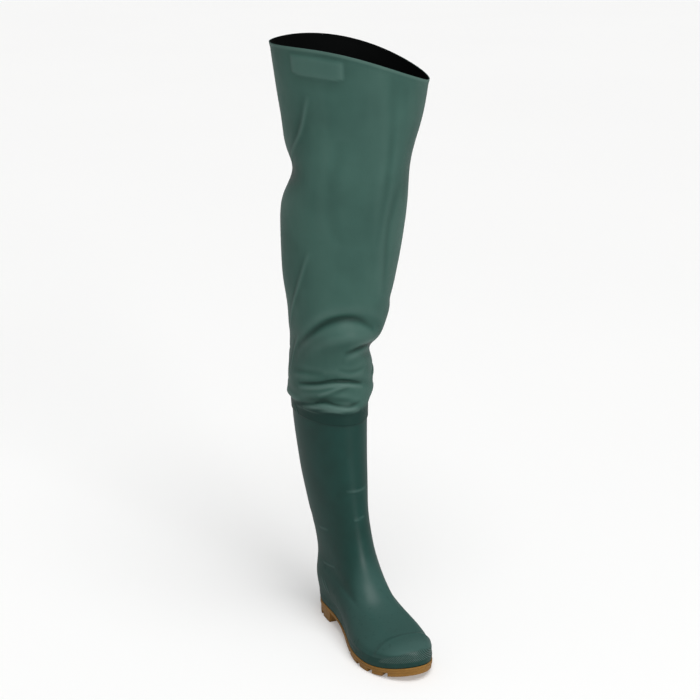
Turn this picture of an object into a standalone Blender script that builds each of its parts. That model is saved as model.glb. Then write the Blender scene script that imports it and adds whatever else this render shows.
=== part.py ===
"""A hip wader for the right foot: a moulded boot on a separate lugged sole, with a long fabric leg.

Metres, +Z up. The toe points to -Y and the inner side of the foot lies to +X. The origin is on the
floor, in the middle of the heel. Every ring of points starts at the front, at angle 0, and turns by
the outer side (a quarter turn) to the back (half a turn) and home by the inner side.
"""

import math

import bpy
import bmesh
import numpy as np
from mathutils import Vector

# Sole
SOLE_LENGTH = 0.300
BALL_WIDTH = 0.108
HEEL_BACK = 0.040
HEEL_LENGTH = 0.079
BREAST_SLANT = 0.022
BREAST_SLOPE = 0.004
HEEL_HEIGHT = 0.0245
FOREFOOT_HEIGHT = 0.0135
ARCH_THICKNESS = 0.007
TOE_SPRING = 0.011
SPRING_SHARE = 0.78
SEAT_FALL_SHARE = 0.22
SEAT_RUN_SHARE = 0.40
ARCH_END_SHARE = 0.40
ARCH_BLEND_SHARE = 0.12
SOLE_BAND = 0.0070
LUG_STEP = 0.0012
SOLE_ROUND = 0.0012

# Tread
NOTCH_WIDTH = 0.0100
NOTCH_REACH = 0.019
LUG_DEPTH = 0.0068
BAR_WIDTH = 0.0050
BAR_DEPTH = 0.0040
BAR_SHARE = 0.42
TURN_STEP = math.radians(1)

# Boot
BOOT_HEIGHT = 0.358
BOOT_WALL = 0.0024
SOLE_LEDGE = 0.0012
RAND_HEIGHT = 0.0115
RAND_ARCH_RISE = 0.0050
RAND_ARCH_SHARE = 0.36
RAND_REACH_SHARE = 0.12
RAND_STEP = 0.0010
RAND_LEVEL = 0.07
FOOT_LEVEL = 0.115
SHAFT_LEVEL = 0.7
TOE_CAP_LENGTH = 0.051
TOE_CAP_STEP = 0.0013
TOE_CAP_BLEND = 0.006

# Leg
LEG_OVERLAP = 0.017
LEG_WALL = 0.0011
SHAFT_BLEND_SHARE = 0.06
FOLD_START_SHARE = 0.02
RIM_HEIGHT = 0.8907
RIM_SKEW = 0.0292
RIM_HIGH_SIDE = math.radians(116)
RIM_WAVE = 0.0088
RIM_FRONT = math.radians(23)
THIGH_WIDTH = 0.230
THIGH_DEPTH = 0.212

# Insole
INSOLE_THICKNESS = 0.003
INSOLE_CLEARANCE = 0.0012

# Touching pieces stay this far apart
GAP = 0.0003

ROUND_POINTS = 36
SOLE_POINTS = 52
BOOT_RINGS = 21
HEIGHT_STEPS = 200
LEG_RINGS = 31
LEG_CROWDING = 1.3

# The sole's outline, from the back of the heel to the toe tip.
# along: share of the sole's length. full: half width over that of an ellipse of the same length, as a
# share of the ball's width. bend: the centre line's way to the inner side, same share.
OUTLINE_COLUMNS = ("along", "full", "bend")
OUTLINE_ROWS = (
    (0.00, 0.630, 0.000),
    (0.10, 0.517, -0.004),
    (0.20, 0.417, -0.009),
    (0.30, 0.348, -0.023),
    (0.40, 0.331, -0.037),
    (0.50, 0.361, -0.046),
    (0.60, 0.440, -0.042),
    (0.70, 0.534, -0.015),
    (0.80, 0.593, 0.007),
    (0.90, 0.622, 0.036),
    (1.00, 0.611, 0.060),
)

# The notches between the lugs, as side (-1 outer, 1 inner) and share of the sole's length.
NOTCH_ROWS = (
    (-1, 0.045), (-1, 0.130), (-1, 0.583), (-1, 0.717), (-1, 0.816), (-1, 0.902),
    (1, 0.095), (1, 0.195), (1, 0.500), (1, 0.643), (1, 0.753), (1, 0.853),
)
# The bars cut across the middle of the tread, as shares of the sole's length.
BAR_PLACES = (0.085, 0.180, 0.545, 0.610, 0.680, 0.750, 0.820, 0.885)

# The boot's rings, from the sole up to the top of the shaft.
# back, front: where the ring starts and ends, as shares of the sole's length from the heel's back.
# rise_back, rise_front: height above the sole there, as a share of the shaft's height above the sole.
# full_0 to full_3: half width over that of an ellipse, at the back, at each third and at the front,
# as a share of the ball's width. x_back, x_front: shift to the inner side, same share.
# sole: how far the ring still keeps to the sole's own outline, from 1 to 0.
BOOT_COLUMNS = (
    "back", "front", "rise_back", "rise_front",
    "full_0", "full_1", "full_2", "full_3", "x_back", "x_front", "sole",
)
BOOT_ROWS = (
    (0.000, 1.000, 0.000, 0.000, 0.610, 0.350, 0.510, 0.600, 0.000, 0.060, 1.00),
    (-0.018, 1.003, 0.034, 0.032, 0.665, 0.385, 0.520, 0.610, 0.000, 0.060, 0.90),
    (-0.031, 0.993, 0.075, 0.062, 0.690, 0.412, 0.470, 0.600, 0.000, 0.060, 0.62),
    (-0.034, 0.960, 0.115, 0.083, 0.695, 0.420, 0.425, 0.575, 0.000, 0.060, 0.38),
    (-0.032, 0.905, 0.155, 0.102, 0.665, 0.410, 0.380, 0.545, 0.000, 0.056, 0.20),
    (-0.029, 0.835, 0.190, 0.117, 0.615, 0.396, 0.350, 0.510, 0.000, 0.046, 0.08),
    (-0.026, 0.755, 0.222, 0.131, 0.570, 0.386, 0.330, 0.465, 0.000, 0.034, 0.00),
    (-0.027, 0.668, 0.255, 0.150, 0.525, 0.382, 0.330, 0.430, 0.000, 0.034, 0.00),
    (-0.031, 0.584, 0.292, 0.183, 0.490, 0.375, 0.335, 0.402, -0.006, 0.026, 0.00),
    (-0.040, 0.508, 0.335, 0.238, 0.455, 0.370, 0.340, 0.390, -0.016, 0.010, 0.00),
    (-0.054, 0.453, 0.385, 0.312, 0.425, 0.368, 0.346, 0.382, -0.032, -0.014, 0.00),
    (-0.094, 0.420, 0.445, 0.405, 0.408, 0.376, 0.360, 0.380, -0.046, -0.036, 0.00),
    (-0.126, 0.400, 0.520, 0.508, 0.403, 0.391, 0.378, 0.385, -0.059, -0.058, 0.00),
    (-0.162, 0.384, 0.630, 0.628, 0.423, 0.428, 0.420, 0.415, -0.068, -0.068, 0.00),
    (-0.190, 0.370, 0.760, 0.760, 0.453, 0.458, 0.453, 0.440, -0.075, -0.075, 0.00),
    (-0.205, 0.362, 0.880, 0.880, 0.478, 0.486, 0.480, 0.462, -0.080, -0.080, 0.00),
    (-0.210, 0.358, 1.000, 1.000, 0.498, 0.506, 0.500, 0.480, -0.082, -0.082, 0.00),
)

# The leg's sections, from the top of the boot to the rim.
# up: share of the way from the boot's top to the rim. x, y: the centre, as shares of the thigh's width
# and depth. wide, deep: the section's width and depth, as shares of the thigh's.
LEG_COLUMNS = ("up", "x", "y", "wide", "deep")
LEG_ROWS = (
    (0.00, -0.033, 0.080, 0.480, 0.785),
    (0.04, -0.035, 0.080, 0.515, 0.765),
    (0.08, -0.033, 0.075, 0.525, 0.750),
    (0.13, -0.025, 0.078, 0.505, 0.775),
    (0.18, -0.030, 0.060, 0.500, 0.790),
    (0.23, -0.015, 0.020, 0.580, 0.775),
    (0.28, 0.003, 0.010, 0.645, 0.740),
    (0.37, 0.004, -0.006, 0.715, 0.765),
    (0.47, 0.018, -0.020, 0.765, 0.820),
    (0.57, 0.032, -0.043, 0.800, 0.850),
    (0.67, 0.050, -0.080, 0.820, 0.865),
    (0.77, 0.072, -0.090, 0.850, 0.890),
    (0.88, 0.085, -0.085, 0.930, 0.950),
    (1.00, 0.090, -0.076, 1.000, 1.000),
)

# The leg's folds, as soft troughs (depth below 0) and ridges.
# up: as above, at the fold's middle. turn: where round the leg that is, in degrees from the front by
# the outer side. reach: half the fold's span round the leg, in degrees. climb: how much further up it
# lies at the end of its reach, and bow: how much further at both ends, as shares like up.
# width: half width, and depth, both as shares of the thigh's width.
FOLD_COLUMNS = ("up", "turn", "reach", "climb", "bow", "width", "depth")
FOLD_ROWS = (
    (0.284, 18, 75, -0.036, -0.100, 0.050, -0.022),
    (0.232, 18, 62, -0.030, -0.070, 0.058, 0.018),
    (0.190, -38, 48, 0.010, 0.000, 0.065, -0.032),
    (0.104, 20, 78, 0.000, -0.048, 0.036, -0.014),
    (0.042, 36, 68, -0.012, -0.048, 0.028, -0.015),
    (0.016, 30, 76, 0.000, -0.010, 0.034, 0.012),
    (0.014, 112, 42, 0.000, 0.000, 0.050, 0.026),
    (0.045, -62, 36, 0.000, 0.000, 0.060, 0.014),
    (0.662, 110, 54, -0.010, 0.000, 0.135, -0.066),
    (0.770, -66, 50, 0.000, 0.000, 0.300, -0.040),
    (1.000, 112, 34, 0.000, 0.000, 0.450, 0.010),
    (1.000, -60, 34, 0.000, 0.000, 0.300, -0.004),
    (1.000, 24, 60, 0.000, 0.000, 0.350, -0.024),
    (0.335, -95, 58, 0.030, -0.040, 0.052, -0.020),
    (0.185, -118, 62, 0.020, -0.050, 0.052, -0.024),
    (0.075, -108, 66, 0.020, -0.040, 0.038, -0.016),
    (0.130, -100, 60, -0.030, -0.030, 0.050, 0.014),
    (0.265, 172, 56, 0.030, -0.040, 0.055, -0.022),
    (0.150, 165, 60, -0.030, 0.030, 0.048, -0.020),
    (0.062, 178, 55, 0.015, -0.020, 0.036, -0.014),
    (0.600, -150, 60, 0.080, -0.050, 0.150, -0.022),
)


def column(rows, columns, name):
    return np.array([row[columns.index(name)] for row in rows])


def smooth_curve(knots, values, wanted):
    """Cubic through the knots, whose slope at each knot is that of its two neighbours."""
    slopes = np.gradient(values, knots)
    wanted = np.clip(wanted, knots[0], knots[-1])
    cell = np.clip(np.searchsorted(knots, wanted, side="right") - 1, 0, len(knots) - 2)
    width = knots[cell + 1] - knots[cell]
    t = (wanted - knots[cell]) / width
    start = (1 + 2 * t) * (1 - t) ** 2 * values[cell] + t * (1 - t) ** 2 * width * slopes[cell]
    end = t * t * (3 - 2 * t) * values[cell + 1] - t * t * (1 - t) * width * slopes[cell + 1]
    return start + end


def ease(x):
    x = np.clip(x, 0, 1)
    return x * x * (3 - 2 * x)


def angles():
    return np.arange(ROUND_POINTS) * 2 * math.pi / ROUND_POINTS


def outline_value(name, along):
    return smooth_curve(
        column(OUTLINE_ROWS, OUTLINE_COLUMNS, "along"),
        column(OUTLINE_ROWS, OUTLINE_COLUMNS, name),
        along,
    )


def y_of(along):
    """A place along the foot, from its share of the sole's length."""
    return HEEL_BACK - SOLE_LENGTH * along


def ground(along):
    """Height of the sole's lowest line: flat under heel and ball, with the toe spring in front."""
    return TOE_SPRING * np.clip((along - SPRING_SHARE) / (1 - SPRING_SHARE), 0, 1) ** 2


def seat(along):
    """Height of the sole's top, which falls from the heel to the ball and rises with the toe."""
    fall = ease((along - SEAT_FALL_SHARE) / SEAT_RUN_SHARE)
    return HEEL_HEIGHT + (FOREFOOT_HEIGHT - HEEL_HEIGHT) * fall + ground(along)


def breast(side):
    """Where the heel block ends, as a share of the sole's length: further on at the inner side."""
    return (HEEL_LENGTH + BREAST_SLANT * side / 2) / SOLE_LENGTH


def underside(along, side):
    """Height of the tread: on the floor under heel and ball, lifted to a thin slab at the arch."""
    arch = seat(along) - ARCH_THICKNESS - ground(along)
    start = ease((along - breast(side)) * SOLE_LENGTH / BREAST_SLOPE)
    end = 1 - ease((along - ARCH_END_SHARE) / ARCH_BLEND_SHARE)
    return ground(along) + arch * start * end


def moved_out(ring, distance):
    """The ring with each point moved outwards in its own level by this distance."""
    step = np.roll(ring, -1, axis=0) - np.roll(ring, 1, axis=0)
    size = np.hypot(step[:, 0], step[:, 1])
    moved = ring.copy()
    moved[:, 0] -= distance * step[:, 1] / size
    moved[:, 1] += distance * step[:, 0] / size
    return moved


def outline_ring(angle):
    """The sole's outline at these angles, on the floor, and the share of the length of each point."""
    along = (1 + np.cos(angle)) / 2
    half = BALL_WIDTH * outline_value("full", along) * np.sin(angle)
    x = BALL_WIDTH * outline_value("bend", along) - half
    return np.stack([x, y_of(along), 0 * x], axis=1), along


def sole_angles():
    """Even steps from toe to heel, with more points where the heel's breast starts and ends."""
    ends = np.array([breast(-1), breast(1)])
    ends = np.concatenate([ends, ends + BREAST_SLOPE / SOLE_LENGTH])
    extra = np.arccos(2 * ends - 1)
    half = np.linspace(0, math.pi, SOLE_POINTS // 2)[1:-1]
    near = np.abs(half[:, None] - extra).min(axis=1) < BREAST_SLOPE / SOLE_LENGTH
    return np.sort(np.concatenate([half[~near], extra]))


def capped_stack(name, rings, split):
    """A closed body: walls between the rings, and strips across the first and the last ring.

    Point 0 is the toe tip, point split the back of the heel, and each side has as many points.
    """
    mesh = bpy.data.meshes.new(name)
    work = bmesh.new()
    grid = [[work.verts.new(point) for point in ring] for ring in rings]
    count = len(grid[0])
    for low, high in zip(grid, grid[1:]):
        for i in range(count):
            after = (i + 1) % count
            work.faces.new((low[i], high[i], high[after], low[after]))
    for ring, upward in ((grid[0], False), (grid[-1], True)):
        for i in range(split):
            strip = [ring[i], ring[i + 1], ring[(count - i - 1) % count], ring[(count - i) % count]]
            corners = list(dict.fromkeys(strip))
            work.faces.new(corners if upward else corners[::-1])
    bmesh.ops.recalc_face_normals(work, faces=work.faces)
    work.to_mesh(mesh)
    work.free()
    return mesh


def boot_row(level):
    knots = np.linspace(0, 1, len(BOOT_ROWS))
    return {
        name: smooth_curve(knots, column(BOOT_ROWS, BOOT_COLUMNS, name), np.array([level]))[0]
        for name in BOOT_COLUMNS
    }


def boot_ring(level):
    """One ring of the boot's outer face. level runs from 0 at the sole to 1 at the shaft's top."""
    row = boot_row(level)
    angle = angles()
    share = (1 + np.cos(angle)) / 2
    third = share * 3
    full = (
        row["full_0"] * (third - 1) * (third - 2) * (third - 3) / -6
        + row["full_1"] * third * (third - 2) * (third - 3) / 2
        - row["full_2"] * third * (third - 1) * (third - 3) / 2
        + row["full_3"] * third * (third - 1) * (third - 2) / 6
    )
    along = row["back"] + (row["front"] - row["back"]) * share
    full = full + (outline_value("full", share) - full) * row["sole"]
    shift = row["x_back"] + (row["x_front"] - row["x_back"]) * share
    shift = shift + (outline_value("bend", share) - shift) * row["sole"]
    x = BALL_WIDTH * (shift - full * np.sin(angle))
    rise = row["rise_back"] + (row["rise_front"] - row["rise_back"]) * share
    base = seat(np.clip(along, 0, 1)) + GAP
    z = base + rise * (BOOT_HEIGHT - base)
    return np.stack([x, y_of(along), z], axis=1)


def level_at(height):
    """The level of the shaft's ring at this height."""
    levels = np.linspace(SHAFT_LEVEL, 1, HEIGHT_STEPS)
    return np.interp(height, [boot_ring(level)[0, 2] for level in levels], levels)


def rand_height(along):
    """Height of the raised rand above the sole, which climbs at the arch."""
    from_arch = (along - RAND_ARCH_SHARE) / RAND_REACH_SHARE
    return RAND_HEIGHT + RAND_ARCH_RISE * np.exp(-(from_arch ** 2))


def outward(rings):
    """The unit normals of a tube of rings."""
    around = np.roll(rings, -1, axis=1) - np.roll(rings, 1, axis=1)
    upward = np.gradient(rings, axis=0)
    normal = np.cross(upward, around)
    return normal / np.linalg.norm(normal, axis=2, keepdims=True)


def boot_surface():
    """The boot's outer face: the rand, then rings up the foot and shaft, with the toe cap raised."""
    first = boot_ring(0)
    above_rand = boot_ring(RAND_LEVEL)
    along = (HEEL_BACK - above_rand[:, 1]) / SOLE_LENGTH
    top = seat(np.clip(along, 0, 1)) + rand_height(along)
    low_edge = above_rand.copy()
    low_edge[:, 2] = top
    high_edge = above_rand.copy()
    high_edge[:, 2] = top + RAND_STEP
    weld = level_at(BOOT_HEIGHT - LEG_OVERLAP)
    rings = [
        moved_out(first, -SOLE_LEDGE),
        moved_out(low_edge, RAND_STEP - SOLE_LEDGE),
        moved_out(high_edge, -SOLE_LEDGE),
    ]
    levels = np.linspace(FOOT_LEVEL, weld, BOOT_RINGS)
    rings += [moved_out(boot_ring(level), -SOLE_LEDGE) for level in levels]
    rings.append(moved_out(boot_ring(1), -SOLE_LEDGE))
    rings = np.array(rings)
    cap_edge = y_of(1) + TOE_CAP_LENGTH
    cap = ease((cap_edge - rings[..., 1]) / TOE_CAP_BLEND) * TOE_CAP_STEP
    cap[:3] = 0
    return rings + outward(rings) * cap[..., None]


def fold_depth(angle, up):
    """How far the folds move the leg's wall outwards at this angle and share of its height."""
    depth = 0 * angle
    for row in FOLD_ROWS:
        fold = dict(zip(FOLD_COLUMNS, row))
        turned = (angle - math.radians(fold["turn"]) + math.pi) % (2 * math.pi) - math.pi
        along = turned / math.radians(fold["reach"])
        line = fold["up"] + fold["climb"] * along + fold["bow"] * along ** 2
        across = (up - line) * (RIM_HEIGHT - BOOT_HEIGHT) / (fold["width"] * THIGH_WIDTH)
        fade = np.clip(1 - along ** 2, 0, 1) ** 2
        depth = depth + THIGH_WIDTH * fold["depth"] * fade * np.exp(-(across ** 2))
    return depth


def leg_surface():
    """The leg's inner face: it starts on the boot's outer face and opens out to the thigh."""
    angle = angles()
    weld = boot_surface()[-2:]
    start = moved_out(weld[1], GAP)
    rim = RIM_HEIGHT + RIM_SKEW * np.cos(angle - RIM_HIGH_SIDE)
    rim = rim + RIM_WAVE * np.cos(2 * (angle - RIM_FRONT))
    rings = [moved_out(weld[0], GAP), start]
    for up in np.linspace(0, 1, LEG_RINGS)[1:] ** LEG_CROWDING:
        values = {
            name: smooth_curve(
                column(LEG_ROWS, LEG_COLUMNS, "up"), column(LEG_ROWS, LEG_COLUMNS, name), up
            )
            for name in LEG_COLUMNS
        }
        x = THIGH_WIDTH * (values["x"] - values["wide"] / 2 * np.sin(angle))
        y = THIGH_DEPTH * (values["y"] - values["deep"] / 2 * np.cos(angle))
        z = BOOT_HEIGHT + up * (rim - BOOT_HEIGHT)
        ring = np.stack([x, y, z], axis=1)
        blend = ease(up / SHAFT_BLEND_SHARE)
        ring[:, :2] = start[:, :2] + (ring[:, :2] - start[:, :2]) * blend
        rings.append(moved_out(ring, fold_depth(angle, up) * ease(up / FOLD_START_SHARE)))
    return np.array(rings)


def open_surface(name, rings):
    """A tube of quads through the rings, open at both ends, with its faces pointing out."""
    mesh = bpy.data.meshes.new(name)
    work = bmesh.new()
    count = rings.shape[1]
    grid = [[work.verts.new(point) for point in ring] for ring in rings]
    for low, high in zip(grid, grid[1:]):
        for i in range(count):
            after = (i + 1) % count
            work.faces.new((low[i], high[i], high[after], low[after]))
    work.to_mesh(mesh)
    work.free()
    return mesh


def add_part(name, mesh, parts, color, roughness):
    for polygon in mesh.polygons:
        polygon.use_smooth = True
    material = bpy.data.materials.new(name)
    material.use_nodes = True
    shader = material.node_tree.nodes["Principled BSDF"]
    shader.inputs["Base Color"].default_value = (*color, 1)
    shader.inputs["Roughness"].default_value = roughness
    mesh.materials.append(material)
    part = bpy.data.objects.new(name, mesh)
    parts.objects.link(part)
    return part


def add_wall(part, thickness, offset):
    solidify = part.modifiers.new("Wall", "SOLIDIFY")
    solidify.thickness = thickness
    solidify.offset = offset
    solidify.use_even_offset = True


def make_boot(parts):
    boot = add_part("boot", open_surface("boot", boot_surface()), parts, (0.021, 0.056, 0.047), 0.38)
    add_wall(boot, BOOT_WALL, -1)


def make_leg(parts):
    leg = add_part("leg", open_surface("leg", leg_surface()), parts, (0.047, 0.098, 0.082), 0.55)
    add_wall(leg, LEG_WALL, 1)


def add_cutter(name, cutters, place, size, turn):
    mesh = bpy.data.meshes.new(name)
    work = bmesh.new()
    bmesh.ops.create_cube(work, size=1)
    bmesh.ops.scale(work, vec=size, verts=work.verts)
    work.to_mesh(mesh)
    work.free()
    cutter = bpy.data.objects.new(name, mesh)
    cutter.location = place
    cutter.rotation_euler.z = turn
    cutter.hide_render = True
    cutter.display_type = "WIRE"
    cutters.objects.link(cutter)


def cut_tread(cutters):
    """Notches in from the sides between the lugs, and bars across the middle of heel and ball."""
    for i, (side, along) in enumerate(NOTCH_ROWS):
        angle = math.acos(2 * along - 1)
        ring, _ = outline_ring(np.array([angle - TURN_STEP, angle, angle + TURN_STEP]) * -side)
        step = ring[2] - ring[0]
        turn = math.atan2(step[1], step[0]) + math.pi / 2
        place = Vector(ring[1])
        place.z = float(ground(along))
        size = (2 * NOTCH_REACH, NOTCH_WIDTH, 2 * LUG_DEPTH)
        add_cutter(f"notch_{i}", cutters, place, size, turn)
    for i, along in enumerate(BAR_PLACES):
        width = 2 * BAR_SHARE * BALL_WIDTH * float(outline_value("full", np.array(along)))
        width *= 2 * math.sqrt(along * (1 - along))
        x = BALL_WIDTH * float(outline_value("bend", np.array(along)))
        place = (x, float(y_of(along)), float(ground(along)))
        add_cutter(f"bar_{i}", cutters, place, (width, BAR_WIDTH, 2 * BAR_DEPTH), 0)


def make_outsole(parts, cutters):
    half = sole_angles()
    angle = np.concatenate([[0], half, [math.pi], 2 * math.pi - half[::-1]])
    base, along = outline_ring(angle)
    side = np.where(angle > math.pi, 1, -1)
    bottom = underside(along, side)
    top = seat(along)
    band = np.maximum(top - SOLE_BAND, bottom + 2 * SOLE_ROUND)

    def level(inset, height):
        ring = moved_out(base, -inset)
        ring[:, 2] = height
        return ring

    rings = [
        level(LUG_STEP + SOLE_ROUND, bottom),
        level(LUG_STEP, bottom + SOLE_ROUND),
        level(LUG_STEP, band),
        level(0, band + LUG_STEP / 2),
        level(0, top - SOLE_ROUND / 2),
        level(SOLE_ROUND / 2, top),
    ]
    mesh = capped_stack("outsole", rings, len(half) + 1)
    outsole = add_part("outsole", mesh, parts, (0.30, 0.17, 0.065), 0.5)
    cut_tread(cutters)
    cut = outsole.modifiers.new("Tread", "BOOLEAN")
    cut.operation = "DIFFERENCE"
    cut.solver = "EXACT"
    cut.operand_type = "COLLECTION"
    cut.collection = cutters


def make_insole(parts):
    """A plain foot bed that lies on the sole, clear of the boot's inner face."""
    half = sole_angles()
    base, _ = outline_ring(np.concatenate([[0], half, [math.pi], 2 * math.pi - half[::-1]]))
    low = moved_out(base, -(SOLE_LEDGE + BOOT_WALL + INSOLE_CLEARANCE))
    low[:, 2] = seat((HEEL_BACK - low[:, 1]) / SOLE_LENGTH) + 2 * GAP
    high = low.copy()
    high[:, 2] += INSOLE_THICKNESS
    mesh = capped_stack("insole", [low, high], len(half) + 1)
    add_part("insole", mesh, parts, (0.05, 0.05, 0.05), 0.9)


def new_collection(name):
    collection = bpy.data.collections.new(name)
    bpy.context.scene.collection.children.link(collection)
    return collection


def main():
    for old in list(bpy.data.objects):
        bpy.data.objects.remove(old)
    parts = new_collection("hip_wader")
    cutters = new_collection("cutters")
    make_outsole(parts, cutters)
    make_boot(parts)
    make_leg(parts)
    make_insole(parts)


main()
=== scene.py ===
import math

import bpy
import numpy as np
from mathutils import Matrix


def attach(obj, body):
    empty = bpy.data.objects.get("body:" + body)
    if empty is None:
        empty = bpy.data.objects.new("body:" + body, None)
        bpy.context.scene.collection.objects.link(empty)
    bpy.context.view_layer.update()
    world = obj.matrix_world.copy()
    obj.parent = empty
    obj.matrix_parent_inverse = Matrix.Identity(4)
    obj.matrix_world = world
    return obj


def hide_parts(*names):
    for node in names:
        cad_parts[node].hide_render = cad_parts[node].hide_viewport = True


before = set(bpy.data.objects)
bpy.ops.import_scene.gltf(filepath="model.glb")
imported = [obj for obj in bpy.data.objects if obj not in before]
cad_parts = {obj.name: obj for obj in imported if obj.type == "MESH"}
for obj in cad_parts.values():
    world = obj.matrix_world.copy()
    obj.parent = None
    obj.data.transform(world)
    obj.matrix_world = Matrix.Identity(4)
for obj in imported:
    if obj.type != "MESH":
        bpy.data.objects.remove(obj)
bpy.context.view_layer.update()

# Sizes of the part, in metres, as its source names them. The toe points to -Y, the inner side of the
# foot lies to +X, and angles round a ring start at the front and turn by the outer side.
SOLE_LENGTH = 0.300
BALL_WIDTH = 0.108
HEEL_BACK = 0.040
HEEL_LENGTH = 0.079
BREAST_SLANT = 0.022
BREAST_SLOPE = 0.004
HEEL_HEIGHT = 0.0245
FOREFOOT_HEIGHT = 0.0135
ARCH_THICKNESS = 0.007
TOE_SPRING = 0.011
SPRING_SHARE = 0.78
SEAT_FALL_SHARE = 0.22
SEAT_RUN_SHARE = 0.40
ARCH_END_SHARE = 0.40
ARCH_BLEND_SHARE = 0.12
SOLE_BAND = 0.0070
LUG_STEP = 0.0012
SOLE_ROUND = 0.0012
NOTCH_WIDTH = 0.0100
NOTCH_REACH = 0.019
LUG_DEPTH = 0.0068
BAR_WIDTH = 0.0050
BAR_DEPTH = 0.0040
BAR_SHARE = 0.42

BOOT_HEIGHT = 0.358
BOOT_WALL = 0.0024
SOLE_LEDGE = 0.0012
RAND_HEIGHT = 0.0115
RAND_ARCH_RISE = 0.0050
RAND_ARCH_SHARE = 0.36
RAND_REACH_SHARE = 0.12
RAND_STEP = 0.0010
RAND_LEVEL = 0.07
FOOT_LEVEL = 0.115
TOE_CAP_LENGTH = 0.051
TOE_CAP_STEP = 0.0013
TOE_CAP_BLEND = 0.006

LEG_OVERLAP = 0.017
LEG_WALL = 0.0011
SHAFT_BLEND_SHARE = 0.06
FOLD_START_SHARE = 0.02
RIM_HEIGHT = 0.8907
RIM_SKEW = 0.0292
RIM_HIGH_SIDE = math.radians(116)
RIM_WAVE = 0.0088
RIM_FRONT = math.radians(23)
THIGH_WIDTH = 0.230
THIGH_DEPTH = 0.212
LEG_SPAN = RIM_HEIGHT - BOOT_HEIGHT

INSOLE_THICKNESS = 0.003
INSOLE_CLEARANCE = 0.0012
GAP = 0.0003

# Fine forms that only the dressed part has, in metres, degrees and shares of the leg's height.
RAND_FRONT_REACH = 62
RAND_FRONT_FADE = 25
RAND_FRONT_SHARE = 0.6
RAND_BULGE = 0.0005
CAP_BEAD = 0.0005
HATCH_MIDDLE = -2
HATCH_REACH = 44
HATCH_TOP = 0.012
HATCH_FOOT = -0.004
HATCH_EDGE = 0.003
RIB_HALF_WIDTH = 0.0014
RIB_HEIGHT = 0.0008
HEEL_RIB_REACH = 0.010
HEEL_RIB_SLANT = 0.004
CALF_STEP_PLACE = 0.165
CALF_STEP_HALF_WIDTH = 0.007
CALF_STEP_DEPTH = 0.0010
SOLE_RIB_HALF_WIDTH = 0.0006
SOLE_RIB_HEIGHT = 0.0004
PATCH_TURN = 50
PATCH_REACH = 23
PATCH_SIDE_EDGE = 3
PATCH_LOW = 0.925
PATCH_SAG = 0.012
PATCH_HIGH = 0.984
PATCH_EDGE = 0.008
PATCH_HEIGHT = 0.0013
HEM_START = 0.988
HEM_BLEND = 0.004
HEM_THICKNESS = 0.0007
LINING_ROOM = 0.0028
DEEP_HOLLOW = 0.0018
HIGH_RIDGE = 0.0014
HIGH_WELD_RIDGE = 0.0010

# Points round each ring, and rings up the parts.
BOOT_AROUND = 288
LEG_AROUND = 264
SOLE_AROUND = 150
INSOLE_AROUND = 90
SHAFT_RINGS = 190
WELD_RINGS = 12

# The photograph's viewpoint: place, level heading, tilt down, lens, and the turn to the left that
# brings the one boot to the middle.
CAMERA_PLACE = (-0.9438, -2.1525, 1.1766)
CAMERA_HEADING = (0.4526, 0.8917)
CAMERA_TILT = 0.30400
CAMERA_TURN = math.radians(2.67)
CAMERA_LENS = 82.74
SENSOR_WIDTH = 36
FARTHEST_SEEN = 200
WORLD_GLOW = 0.36
ADDED_GLOW_SEEN = 0.60
FLOOR_REACH = 60

# The sole's outline: share of its length, half width over that of an ellipse, and the centre line's
# shift to the inner side, the last two as shares of the ball's width.
OUTLINE_ROWS = np.array((
    (0.00, 0.630, 0.000),
    (0.10, 0.517, -0.004),
    (0.20, 0.417, -0.009),
    (0.30, 0.348, -0.023),
    (0.40, 0.331, -0.037),
    (0.50, 0.361, -0.046),
    (0.60, 0.440, -0.042),
    (0.70, 0.534, -0.015),
    (0.80, 0.593, 0.007),
    (0.90, 0.622, 0.036),
    (1.00, 0.611, 0.060),
))

# The notches between the lugs: side (-1 outer, 1 inner) and share of the sole's length.
NOTCH_ROWS = (
    (-1, 0.045), (-1, 0.130), (-1, 0.583), (-1, 0.717), (-1, 0.816), (-1, 0.902),
    (1, 0.095), (1, 0.195), (1, 0.500), (1, 0.643), (1, 0.753), (1, 0.853),
)
BAR_PLACES = (0.085, 0.180, 0.545, 0.610, 0.680, 0.750, 0.820, 0.885)

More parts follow.
